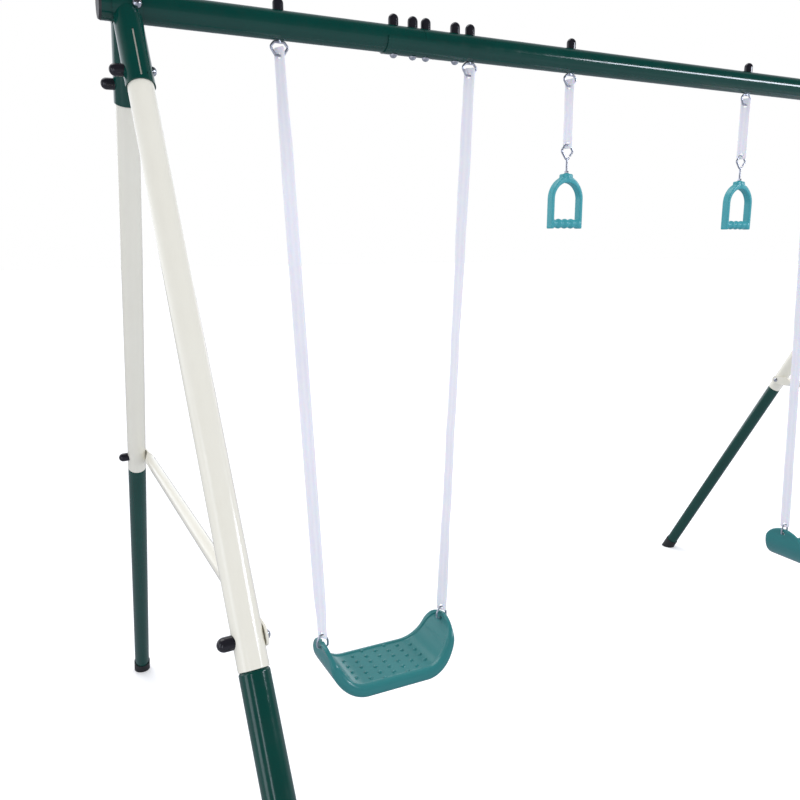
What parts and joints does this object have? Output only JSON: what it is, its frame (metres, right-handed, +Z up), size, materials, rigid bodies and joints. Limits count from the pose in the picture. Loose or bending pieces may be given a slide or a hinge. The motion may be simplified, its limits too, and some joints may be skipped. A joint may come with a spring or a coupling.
{
  "type": "swing set",
  "caption": "Tubular A-frame swing set with a bolted top bar, moulded sling seats on flat straps and stirrup gym handles on swivel hooks.",
  "frame": {"origin": "centre of the footprint on the ground", "axes": "+X along the top bar, with the pictured A-frame at -X; +Y from the front feet to the rear feet; +Z up"},
  "size_m": [2.488, 2.0064, 1.7864],
  "materials": {
    "green_enamel": "glossy dark green enamel on steel",
    "cream_enamel": "glossy cream enamel on steel",
    "black_gloss_plastic": "glossy moulded nut caps",
    "black_rubbery_plastic": "satin moulded caps and plugs",
    "zinc_hardware": "bright zinc plate",
    "zinc_wire": "bright zinc-plated bent wire",
    "white_vinyl": "vinyl-covered flat webbing, slightly translucent",
    "seat_teal_plastic": "moulded satin-gloss plastic",
    "handle_teal_plastic": "moulded satin-gloss plastic"
  },
  "bodies": {
    "frame": {"top_bar_left": "green_enamel", "top_bar_middle": "green_enamel", "top_bar_right": "green_enamel", "joint_saddle_left": "green_enamel", "joint_saddle_right": "green_enamel", "frame_bracket_left": "green_enamel", "frame_bracket_right": "green_enamel", "upper_leg_front_left": "cream_enamel", "upper_leg_rear_left": "cream_enamel", "upper_leg_front_right": "cream_enamel", "upper_leg_rear_right": "cream_enamel", "lower_leg_front_left": "green_enamel", "lower_leg_rear_left": "green_enamel", "lower_leg_front_right": "green_enamel", "lower_leg_rear_right": "green_enamel", "foot_cap_front_left": "black_rubbery_plastic", "foot_cap_rear_left": "black_rubbery_plastic", "foot_cap_front_right": "black_rubbery_plastic", "foot_cap_rear_right": "black_rubbery_plastic", "cross_brace_left": "cream_enamel", "cross_brace_right": "cream_enamel", "bar_end_plugs": "black_rubbery_plastic", "saddle_bolts": "zinc_hardware", "saddle_nuts": "zinc_hardware", "saddle_nut_caps": "black_gloss_plastic", "bracket_bolts": "zinc_hardware", "bracket_nuts": "zinc_hardware", "bracket_nut_caps": "black_gloss_plastic", "brace_bolts": "zinc_hardware", "brace_nuts": "zinc_hardware", "brace_nut_caps": "black_gloss_plastic", "hanger_nuts": "zinc_hardware", "hanger_nut_caps": "black_gloss_plastic", "left_swing_outer_hanger": "zinc_wire", "left_swing_inner_hanger": "zinc_wire", "right_swing_outer_hanger": "zinc_wire", "right_swing_inner_hanger": "zinc_wire", "left_handle_hanger": "zinc_wire", "right_handle_hanger": "zinc_wire"},
    "left_swing_straps": {"left_swing_outer_strap": "white_vinyl", "left_swing_inner_strap": "white_vinyl", "left_swing_outer_link": "zinc_wire", "left_swing_inner_link": "zinc_wire"},
    "left_seat_body": {"left_swing_seat": "seat_teal_plastic"},
    "right_swing_straps": {"right_swing_outer_strap": "white_vinyl", "right_swing_inner_strap": "white_vinyl", "right_swing_outer_link": "zinc_wire", "right_swing_inner_link": "zinc_wire"},
    "right_seat_body": {"right_swing_seat": "seat_teal_plastic"},
    "left_handle_sling": {"left_handle_strap": "white_vinyl"},
    "left_handle_swivel": {"left_handle_hook": "zinc_wire", "left_handle_nuts": "zinc_hardware"},
    "left_handle_grip": {"left_handle": "handle_teal_plastic"},
    "right_handle_sling": {"right_handle_strap": "white_vinyl"},
    "right_handle_swivel": {"right_handle_hook": "zinc_wire", "right_handle_nuts": "zinc_hardware"},
    "right_handle_grip": {"right_handle": "handle_teal_plastic"}
  },
  "joints": [
    {"name": "left_swing", "type": "hinge", "parent": "frame", "child": "left_swing_straps", "pos_m": [-0.734, 0, 1.6885], "axis": [1, 0, 0], "range_deg": [-60, 60]},
    {"name": "left_seat_tilt", "type": "hinge", "parent": "left_swing_straps", "child": "left_seat_body", "pos_m": [-0.734, 0, 0.498], "axis": [1, 0, 0], "range_deg": [-25, 25]},
    {"name": "left_handle_swing", "type": "hinge", "parent": "frame", "child": "left_handle_sling", "pos_m": [-0.275, 0, 1.6885], "axis": [1, 0, 0], "range_deg": [-70, 70]},
    {"name": "left_hook_swing", "type": "hinge", "parent": "left_handle_sling", "child": "left_handle_swivel", "pos_m": [-0.275, 0, 1.5655], "axis": [1, 0, 0], "range_deg": [-45, 45]},
    {"name": "left_handle_spin", "type": "hinge", "parent": "left_handle_swivel", "child": "left_handle_grip", "pos_m": [-0.275, 0, 1.5055], "axis": [0, 0, 1], "continuous": true},
    {"name": "right_swing", "type": "hinge", "parent": "frame", "child": "right_swing_straps", "pos_m": [0.734, 0, 1.6885], "axis": [1, 0, 0], "range_deg": [-60, 60]},
    {"name": "right_seat_tilt", "type": "hinge", "parent": "right_swing_straps", "child": "right_seat_body", "pos_m": [0.734, 0, 0.498], "axis": [1, 0, 0], "range_deg": [-25, 25]},
    {"name": "right_handle_swing", "type": "hinge", "parent": "frame", "child": "right_handle_sling", "pos_m": [0.275, 0, 1.6885], "axis": [1, 0, 0], "range_deg": [-70, 70]},
    {"name": "right_hook_swing", "type": "hinge", "parent": "right_handle_sling", "child": "right_handle_swivel", "pos_m": [0.275, 0, 1.5655], "axis": [1, 0, 0], "range_deg": [-45, 45]},
    {"name": "right_handle_spin", "type": "hinge", "parent": "right_handle_swivel", "child": "right_handle_grip", "pos_m": [0.275, 0, 1.5055], "axis": [0, 0, 1], "continuous": true}
  ]
}
